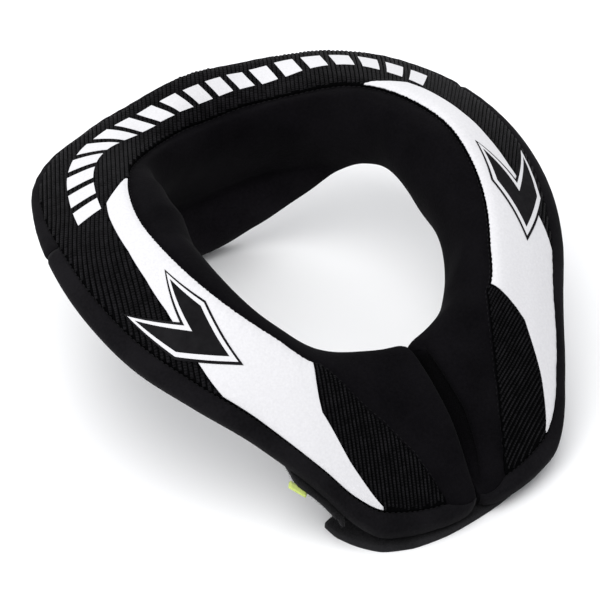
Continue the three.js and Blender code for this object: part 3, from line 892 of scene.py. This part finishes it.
def dropped_lines(tree, given, lines):
    """The lines laid onto the given mesh, without what misses it, and the direction of its face."""
    flat = add_node(tree, "GeometryNodeCurveToMesh", {"Curve": lines})
    fallen = add_node(tree, "GeometryNodeSetPosition", {"Geometry": flat, "Offset": (0, 0, DROP_FROM)})
    inputs = {"Target Geometry": given, "Ray Direction": (0, 0, -1), "Ray Length": 1.0}
    drop = add_node(tree, "GeometryNodeRaycast", inputs).outputs
    reads = {}
    vector = "FLOAT_VECTOR"
    for label, kind, socket in (
            ("hit", "BOOLEAN", "Is Hit"), ("spot", vector, "Hit Position"), ("rise", vector, "Hit Normal")):
        inputs = {"Geometry": fallen, "Name": label, "Value": drop[socket]}
        fallen = add_node(tree, "GeometryNodeStoreNamedAttribute", inputs, data_type=kind)
        read = add_node(tree, "GeometryNodeInputNamedAttribute", {"Name": label}, data_type=kind)
        reads[label] = read.outputs["Attribute"]
    missed = add_node(tree, "FunctionNodeBooleanMath", {0: reads["hit"]}, operation="NOT")
    trimmed = add_node(tree, "GeometryNodeDeleteGeometry", {"Geometry": fallen, "Selection": missed})
    laid = add_node(tree, "GeometryNodeSetPosition", {"Geometry": trimmed, "Position": reads["spot"]})
    return laid, reads["rise"]


def ribs_tree():
    """Lines in plan, bent on both sides, dropped onto the bed and thickened."""
    tree, given, output = geometry_tree("twill_ribs", {
        "Direction": 0.5, "Pitch": RIB_PITCH, "Right Bend": 0.0, "Left Bend": 0.0,
        "Width": 0.0015, "Height": 0.0003,
    })
    laid, rise = dropped_lines(tree, given, bent_lines(tree, given))
    threads = add_node(tree, "GeometryNodeMeshToCurve", {"Mesh": laid})
    inputs = {"Curve": threads, "Length": THREAD_STEP}
    even = add_node(tree, "GeometryNodeResampleCurve", inputs, mode="LENGTH")
    facing = add_node(tree, "GeometryNodeSetCurveNormal", {"Curve": even, "Normal": rise}, mode="FREE")
    along = add_node(tree, "GeometryNodeSplineParameter").outputs["Length"]
    inputs = {"Geometry": facing, "Name": "along", "Value": along}
    marked = add_node(tree, "GeometryNodeStoreNamedAttribute", inputs)
    circle = add_node(tree, "GeometryNodeCurvePrimitiveCircle", {"Resolution": 7, "Radius": 1.0})
    half_width = number_node(tree, "MULTIPLY", given.outputs["Width"], 0.5)
    size = vector_of(tree, X=given.outputs["Height"], Y=half_width)
    oval = add_node(tree, "GeometryNodeTransform", {"Geometry": circle, "Scale": size})
    thick = add_node(tree, "GeometryNodeCurveToMesh", {"Curve": marked, "Profile Curve": oval})
    finish_tree(tree, output, thick, rib_thread)
    return tree


def rib_bed(name, turns, inner, outer):
    """A copy of part of the twill's upper face, for the ribs to fall on."""
    place = inner[:, None] + (outer - inner)[:, None] * np.linspace(0, 1, 26)
    points = skin_grid(turns, place, TWILL_TOP).reshape(-1, 3)
    return new_object(name, points, sheet_faces(*place.shape))


rib_tree = ribs_tree()
print("rib tree with", len(rib_tree.nodes), "nodes")

# %% Printed side stripes
STRIPE = np.array([
    (20, 0.95, 0.98), (26, 0.72, 0.98), (31.5, 0.46, 0.98), (32.2, 0.34, 0.98), (32.7, 0.22, 0.98),
    (33, 0.12, 0.98), (33.3, 0.02, 0.98), (54, 0.02, 0.96), (60, 0.02, 0.80), (66, 0.02, 0.65),
    (74, 0.02, 0.51), (84, 0.02, 0.41), (94, 0.02, 0.35), (109, 0.02, 0.32), (115, 0.02, 0.29),
    (121, 0.02, 0.15), (127, 0.01, 0.03),
])
FILM_LIFT = TWILL_TOP + 0.00015
FILM = 0.0003


def stripe_edges(turns):
    """Inner and outer place of a stripe at each turn, the same on both sides."""
    angle = from_split(turns)
    inner, outer = (OUTER_SEAM * np.interp(angle, STRIPE[:, 0], STRIPE[:, column]) for column in (1, 2))
    uneven = 0.007 * (np.sin(turns * 4.1) + np.sin(turns * 7.3 + 1.0))
    return inner + np.where((angle > 34) & (angle < 118), uneven, 0), outer


for name, start, end, rows in (
        ("stripe_right", 20, 127, STRIPE[:, 0]), ("stripe_left", 233, 340, 360 - STRIPE[:, 0])):
    stripe = strip("print_" + name, sorted_turns(start, end, rows, 0.5), stripe_edges, 24, FILM_LIFT, FILM)
    dress(stripe, white_film, "white_print", name)

# %% Lay the ribs
def flap_bed(name, side):
    """The front panel of one flap between the knit and the stripe."""
    angles = np.linspace(7.6, 32.8, 40)
    turns = angles if side > 0 else 360 - angles
    stripe_inner = OUTER_SEAM * np.interp(angles, STRIPE[:, 0], STRIPE[:, 1], left=0.99)
    outer = np.where(angles < 20, 1.96, np.maximum(stripe_inner - 0.01, roll_seam(turns) + 0.03))
    return rib_bed(name, turns, roll_seam(turns) + 0.014, outer)


def long_bed(name):
    """The long panel round the back, outside both stripes."""
    turns = np.linspace(55, 305, 260)
    angles = from_split(turns)
    stripe_outer = OUTER_SEAM * np.interp(angles, STRIPE[:, 0], STRIPE[:, 2], right=0.0)
    inner = np.where(angles < 126.5, stripe_outer + 0.015, 0.04)
    return rib_bed(name, turns, np.minimum(inner, 1.95), np.full(len(turns), 1.965))


RIB_ZONES = (
    (flap_bed("ribs_flap_left", -1), 22, 0.0019, 0.0, 0.0, 0.00105),
    (flap_bed("ribs_flap_right", 1), 64, 0.0014, 0.0, 0.0, 0.00095),
    (long_bed("ribs_back"), 30, RIB_PITCH, 0.28, -0.22, 0.0018),
)
for bed, direction, pitch, right_bend, left_bend, width in RIB_ZONES:
    values = {"Direction": math.radians(direction), "Pitch": pitch, "Width": width, "Height": 0.00042}
    grow(bed, rib_tree, {**values, "Right Bend": right_bend, "Left Bend": left_bend})
    dress(bed, rib_thread, "ribbed_cloth")

# %% Edge bands and back binding
BAND_START = 0.6
BAND_END = 108.0
BAND_LIFT = 0.0003
BAND = 0.0012
BAND_NARROWS = 7             # over these last degrees before the split the band dips and thins out


def band_places(turns):
    """The band covers the outer edge; close to the split its upper seam dips under the edge."""
    near = np.clip(1 - from_split(turns) / BAND_NARROWS, 0, 1)
    return 2.02 + near, np.full(len(turns), 4.02)


def towards_split(turns):
    """Share of the band's thickness: it thins out over the last degrees before the split."""
    return 0.08 + 0.92 * np.clip((from_split(turns) - BAND_START) / BAND_NARROWS, 0, 1)


for name, start, end, node in (
        ("band_right", BAND_START, BAND_END, "edge_band_right"),
        ("band_left", 360 - BAND_END, 360 - BAND_START, "edge_band_left"),
        ("binding_back", BAND_END + 0.3, 360 - BAND_END - 0.3, "back_binding")):
    band = strip(name, sorted_turns(start, end), band_places, 16, BAND_LIFT, BAND, towards_split)
    dress(band, edge_knit, "edge_cloth", node)

# %% [markdown]
# ## The closure
# A hook tongue is sewn under the right flap and lies flat on the table. It takes hold of a loop patch
# under the left flap. Both are tapes one to three millimetres thick, with rounded rims.

# %% Hook tongue
TONGUE_EDGE = np.array([
    (-21, -1.40), (-16, -1.10), (-5, -0.50), (2, -0.15), (8, 0.15),
    (15, 0.35), (21, 0.10), (25, -0.35), (29, -0.90), (31, -1.70),
])
TONGUE_ROOT = -21.0
TONGUE_TIP = 31.0
SLANT_FROM = 14.0            # from this turn on, the inner rim falls back, up to SLANT degrees at the tip
SLANT = 11


def edge_radius(angle):
    """Radius of the foam's outer edge, the fourth control of the section."""
    return section_controls(angle)[3][:, 0]


def tongue_object():
    """The tongue as a flat closed strip with rounded long edges."""
    turns = np.linspace(TONGUE_ROOT, TONGUE_TIP, 90)
    outer = edge_radius(np.abs(turns)) + EDGE_REACH * np.interp(turns, TONGUE_EDGE[:, 0], TONGUE_EDGE[:, 1])
    inner = edge_radius(np.array([-TONGUE_ROOT]))[0] + EDGE_REACH * TONGUE_EDGE[0, 1] - TONGUE_WIDTH
    share = np.concatenate([[0.0, 0.004, 0.02], np.linspace(0.05, 0.95, 18), [0.98, 0.996, 1.0]])
    height = np.concatenate([[0.3, 0.75, 0.97], np.ones(18), [0.97, 0.75, 0.3]])
    radius = outer[:, None] + (inner - outer)[:, None] * share
    around = np.radians(turns[:, None] - rising(turns, SLANT_FROM, TONGUE_TIP)[:, None] * SLANT * share)
    x = -radius * np.sin(around)
    y = NECK_Y - radius * np.cos(around)
    top = np.stack([x, y, np.broadcast_to(TONGUE * height, x.shape)], axis=-1)
    return closed_slab("closure_tongue", top, np.stack([x, y, np.zeros(x.shape)], axis=-1))


dress(tongue_object(), hook_tape, "hook_tape", "hook_tongue")

# %% Loop patch
PATCH = 0.0014
PATCH_LIFT = 0.0003
PATCH_REACH = 0.0050         # how far the patch stands past the band
PATCH_ROWS = 12
PATCH_SINK = 0.0019          # before it comes out, it lies this far below the band's face
PATCH_OUT = (319.5, 324.5)   # it comes out between these turns
FRAY_START = 331.4
FRAY = 0.22


def tape_edge(turns):
    """Lower and upper points of a tape that leaves the underside and stands past the band."""
    place = np.tile(np.linspace(4.92, 4.02, PATCH_ROWS), (len(turns), 1))
    base = skin_grid(turns, place, 0.0)
    normal = bare_normal(np.repeat(turns, PATCH_ROWS), place.ravel()).reshape(base.shape)
    merge = eased(rising(turns, *PATCH_OUT))
    over_band = BAND_LIFT + BAND - PATCH_SINK * (1 - merge)
    lift = PATCH_LIFT + np.linspace(0, 1, PATCH_ROWS)[None, :] * over_band[:, None]
    base = base + normal * lift[..., None]
    heading = base[:, -1] - base[:, -3]
    heading[:, 2] -= 0.1 * np.linalg.norm(heading, axis=1)
    heading /= np.linalg.norm(heading, axis=1, keepdims=True)
    fray = FRAY * np.sin(turns * 23) * rising(turns, FRAY_START, FRAY_START + 0.6)
    reach = PATCH_REACH * ((1 + 0.12 * np.sin(np.radians(turns) * 37) + fray) * merge + 0.02)
    steps = np.linspace(0.2, 1.0, 5)
    past = base[:, -1:] + heading[:, None] * steps[None, :, None] * reach[:, None, None]
    line = np.concatenate([base, past], axis=1)
    over = np.concatenate([normal, np.repeat(normal[:, -1:], len(steps), axis=1)], axis=1)
    thin = np.ones(line.shape[1])
    thin[[0, -1]] = 0.3
    return line, line + over * (PATCH * thin)[None, :, None]


patch = closed_slab("patch_loops", *tape_edge(np.linspace(319.6, 333.0, 60)))
dress(patch, loop_pile, "loop_tape", "loop_patch")

# %% Folded tag
TAG_TURN = 324.2
TAG_HALF = 0.0048            # half its width along the edge
TAG_REACH = 0.0036
TAG_GAP = 0.00045            # half the gap inside the fold
TAG_WALL = 0.00040
TAG_INSET = 0.0012           # the fold starts this far back under the patch
TAG_DROP = 0.0013            # and this far below it


def unit(vector):
    """The vector at length 1."""
    return vector / np.linalg.norm(vector)


def tag_object():
    """A narrow tape folded over on itself, standing out from under the loop patch."""
    lower = tape_edge(np.array([TAG_TURN - 0.5, TAG_TURN, TAG_TURN + 0.5]))[0]
    out = unit(lower[1, -1] - lower[1, -3])
    side = lower[2, -1] - lower[0, -1]
    side = unit(side - out * (side @ out))
    down = np.cross(side, out)
    down *= -np.sign(down[2])
    base = lower[1, -1] - out * TAG_INSET + down * TAG_DROP
    angles = np.linspace(-math.pi / 2, math.pi / 2, 9)
    path = np.array([
        (0.0, -TAG_GAP), (TAG_REACH * 0.5, -TAG_GAP * 0.9),
        *[(TAG_REACH + TAG_GAP * math.cos(angle), TAG_GAP * math.sin(angle)) for angle in angles],
        (TAG_REACH * 0.5, TAG_GAP * 0.9), (0.0, TAG_GAP),
    ])
    step = np.gradient(path, axis=0)
    across = np.stack([-step[:, 1], step[:, 0]], axis=1)
    across /= np.linalg.norm(across, axis=1, keepdims=True)
    spread = np.linspace(-TAG_HALF, TAG_HALF, 9)[:, None, None] * side
    faces = []
    for shift in (-TAG_WALL / 2, TAG_WALL / 2):
        flat = path + across * shift
        faces.append(base + flat[None, :, :1] * out + flat[None, :, 1:] * down + spread)
    return closed_slab("tag_fold", *faces)


dress(tag_object(), tag_weave, "tag_cloth", "edge_tag")

# %% [markdown]
# ## Stitches, hooks and fibres
# Small things that repeat are grown by Geometry Nodes. Stitches follow the two long seams, hooks stand on
# the tongue, and fibres stand all over the loop patch. Each one is a shape of a few faces.

# %% Trees for stitches and bristles
def sized_copies(tree, given, points, shape):
    """A copy of a shape on every point, turned with it: Thick across and Long along."""
    size = vector_of(tree, X=given.outputs["Thick"], Y=given.outputs["Thick"], Z=given.outputs["Long"])
    inputs = {"Points": points, "Instance": shape, "Rotation": points.outputs["Rotation"], "Scale": size}
    return add_node(tree, "GeometryNodeInstanceOnPoints", inputs)


def stitches_tree():
    """Short rounded stitches at even steps along the edges of a mesh."""
    numbers = {"Step": 0.003, "Long": 0.0022, "Thick": 0.0006}
    tree, given, output = geometry_tree("seam_stitches", numbers)
    seam = add_node(tree, "GeometryNodeMeshToCurve", {"Mesh": given})
    inputs = {"Curve": seam, "Length": given.outputs["Step"]}
    points = add_node(tree, "GeometryNodeCurveToPoints", inputs, mode="LENGTH")
    ball = add_node(tree, "GeometryNodeMeshUVSphere", {"Segments": 6, "Rings": 4, "Radius": 0.5})
    finish_tree(tree, output, sized_copies(tree, given, points, ball), seam_thread)
    return tree


def bristles_tree(material):
    """Thin cones scattered over a mesh and leaning at random from its surface."""
    numbers = {"Density": 400000.0, "Long": 0.0008, "Thick": 0.00012, "Lean": 0.4, "Seed": 7}
    tree, given, output = geometry_tree("bristles_" + material.name, numbers)
    lean_most, seed = given.outputs["Lean"], given.outputs["Seed"]
    inputs = {"Mesh": given, "Density": given.outputs["Density"], "Seed": seed}
    spread = add_node(tree, "GeometryNodeDistributePointsOnFaces", inputs)
    inputs = {"Vertices": 4, "Radius Top": 0.25, "Radius Bottom": 0.5, "Depth": 1.0}
    cone = add_node(tree, "GeometryNodeMeshCone", inputs, fill_type="NONE")
    inputs = {0: number_node(tree, "MULTIPLY", lean_most, -1.0), 1: lean_most, "Seed": seed}
    lean = add_node(tree, "FunctionNodeRandomValue", inputs, data_type="FLOAT_VECTOR")
    placed = sized_copies(tree, given, spread, cone)
    tipped = add_node(tree, "GeometryNodeRotateInstances", {"Instances": placed, "Rotation": lean})
    finish_tree(tree, output, tipped, material)
    return tree


stitch_tree = stitches_tree()
print("stitch tree with", len(stitch_tree.nodes), "nodes")

# %% Stitches in the long seams
def seam_line(name, turns, places, lift):
    """A line of edges that follows the core at the given turns and places."""
    points = skin_point(turns, places, lift)
    line = bpy.data.meshes.new(name)
    line.from_pydata([tuple(point) for point in points], [(k, k + 1) for k in range(len(points) - 1)], [])
    return linked_object(name, line)


sewn_turns = np.arange(8.0, 352.1, 0.5)
for name, places, lift in (
        ("stitches_roll_seam", roll_seam(sewn_turns) - 0.03, 0.0002),
        ("stitches_outer_seam", np.full(len(sewn_turns), 2.005), 0.0010)):
    seam = seam_line(name, sewn_turns, places, lift)
    grow(seam, stitch_tree, {"Step": 0.0028, "Long": 0.0021, "Thick": 0.0007})
    dress(seam, seam_thread, "edge_cloth")

# %% Hooks on the tongue and fibres on the patch
def face_sheet(name, source, kept):
    """A copy of some faces of a piece."""
    kept = [tuple(face.vertices) for face in kept]
    used = sorted({corner for face in kept for corner in face})
    order = {corner: index for index, corner in enumerate(used)}
    points = [tuple(source.data.vertices[corner].co) for corner in used]
    return new_object(name, points, [tuple(order[corner] for corner in face) for face in kept])


tongue = bpy.data.objects["closure_tongue"]
hooked = [face for face in tongue.data.polygons if face.normal.z > 0.8 and face.center.x < -0.004]
hooks = face_sheet("tongue_hooks", tongue, hooked)
hook_sizes = {"Density": 900000.0, "Long": 0.0008, "Thick": 0.00022, "Lean": 0.25, "Seed": 11}
dress(grow(hooks, bristles_tree(hook_tape), hook_sizes), hook_tape, "hook_tape")
fibres = face_sheet("tape_fibres", patch, patch.data.polygons)
fibre_sizes = {"Density": 1600000.0, "Long": 0.0012, "Thick": 0.00010, "Lean": 1.2, "Seed": 5}
dress(grow(fibres, bristles_tree(loop_pile), fibre_sizes), loop_pile, "loop_tape")

# %% [markdown]
# ## Marks
# Plain slanted bars run along the back and a plain chevron sits on each side, in white. Every mark is a
# thin film, built from four-sided patches in millimetres on the cloth.

# %% Films made of patches
MM_PER_DEGREE = 1.84         # along the middle of the ribbed face
MARK_LIFT = TWILL_TOP + 0.00050


def film(name, patches, centre, lift, thickness, detail):
    """A film from corner lists in millimetres along and across, round a centre (turn, place, side)."""
    share = np.linspace(0, 1, detail)
    s, t = np.meshgrid(share, share, indexing="ij")
    points = []
    faces = []
    turn0, place0, side = centre
    for corners in patches:
        corners = np.array(corners, dtype=float)
        low = corners[0] * (1 - s)[..., None] + corners[1] * s[..., None]
        high = corners[3] * (1 - s)[..., None] + corners[2] * s[..., None]
        flat = (low * (1 - t)[..., None] + high * t[..., None]).reshape(-1, 2)
        angle = turn0 + flat[:, 0] / MM_PER_DEGREE
        face = bare_point(angle, np.full(len(angle), OUTER_SEAM)) - bare_point(angle, np.zeros(len(angle)))
        place = place0 + flat[:, 1] / 1000 * OUTER_SEAM / np.linalg.norm(face, axis=1)
        faces.extend(sheet_faces(detail, detail, len(points)))
        points.extend(skin_point(angle if side > 0 else 360 - angle, place, lift))
    piece = new_object(name, points, faces)
    sheet = bmesh.new()
    sheet.from_mesh(piece.data)
    bmesh.ops.remove_doubles(sheet, verts=sheet.verts, dist=1e-5)
    bmesh.ops.recalc_face_normals(sheet, faces=sheet.faces)
    if sum(face.normal.z for face in sheet.faces) < 0:
        bmesh.ops.reverse_faces(sheet, faces=sheet.faces)
    sheet.to_mesh(piece.data)
    sheet.free()
    solid = piece.modifiers.new("film", "SOLIDIFY")
    solid.thickness = thickness
    solid.offset = 1.0
    keep_result(piece).data.set_sharp_from_angle(angle=math.radians(40))
    return piece


print("films lie", round(MARK_LIFT * 1000, 2), "mm above the core")

# %% Slanted bars along the back
BAR_PITCH = 13.4
BAR_LENGTH = 9.2
BAR_SLANT = 5.5
BAR_HALF_HEIGHT = 6.3        # all in millimetres
BAR_FILM = 0.00015


def bars_film():
    """Slanted bars between the two side stripes, a little lower where the back is narrow."""
    patches = []
    for k in range(-9, 10):
        middle = (k + 0.3) * BAR_PITCH
        tall = BAR_HALF_HEIGHT - 1.9 * hump(middle, 45)
        lean = BAR_SLANT * tall / BAR_HALF_HEIGHT
        half = BAR_LENGTH / 2
        patches.append([
            (middle - half - lean / 2, -tall), (middle + half - lean / 2, -tall),
            (middle + half + lean / 2, tall), (middle - half + lean / 2, tall),
        ])
    return film("print_back_bars", patches, (178.0, 1.02, 1), MARK_LIFT, BAR_FILM, 7)


dress(bars_film(), white_film, "white_print")

# %% Chevrons on both sides
CHEVRON = np.array([(-28, 0), (-4, 12.5), (20, 12.5), (-4, 0), (20, -12.5), (-4, -12.5)], dtype=float)
CHEVRON_TURN = 69.0
CHEVRON_LIFT = FILM_LIFT + FILM + 0.00012
CHEVRON_GROUND = 0.0001
CHEVRON_LINE = 0.00014


def grown_outline(corners, amount):
    """The polygon moved outwards by an amount in millimetres, with sharp corners kept."""
    follow = np.roll(corners, -1, axis=0)
    ahead = follow - corners
    ahead /= np.linalg.norm(ahead, axis=1, keepdims=True)
    behind = np.roll(ahead, 1, axis=0)
    turning = np.sum(corners[:, 0] * follow[:, 1] - corners[:, 1] * follow[:, 0])
    sign = 1.0 if turning > 0 else -1.0
    out_ahead = sign * np.stack([ahead[:, 1], -ahead[:, 0]], axis=1)
    out_behind = sign * np.stack([behind[:, 1], -behind[:, 0]], axis=1)
    middle = out_ahead + out_behind
    scale = 2 / np.maximum(np.sum(middle * middle, axis=1), 0.5)
    return corners + middle * scale[:, None] * amount


def outline_patches(corners, inner, outer):
    """Four-sided patches between two grown outlines of a polygon."""
    small = grown_outline(corners, inner)
    large = grown_outline(corners, outer)
    follow = np.roll(np.arange(len(corners)), -1)
    return [[small[k], small[follow[k]], large[follow[k]], large[k]] for k in range(len(corners))]


def filled_patches(corners):
    """A chevron filled with its two arms."""
    a, b, c, d, e, f = corners
    return [[a, b, c, d], [a, d, e, f]]


ground = filled_patches(grown_outline(CHEVRON, 2.2))
outline = outline_patches(CHEVRON, -1.0, 1.0)
for label, side in (("right", 1), ("left", -1)):
    centre = (CHEVRON_TURN, 1.04, side)
    back = film("chevron_ground_" + label, ground, centre, CHEVRON_LIFT, CHEVRON_GROUND, 18)
    dress(back, film_black, "ribbed_cloth")
    line = film("chevron_line_" + label, outline, centre, CHEVRON_LIFT + CHEVRON_GROUND, CHEVRON_LINE, 16)
    dress(line, white_film, "white_print")
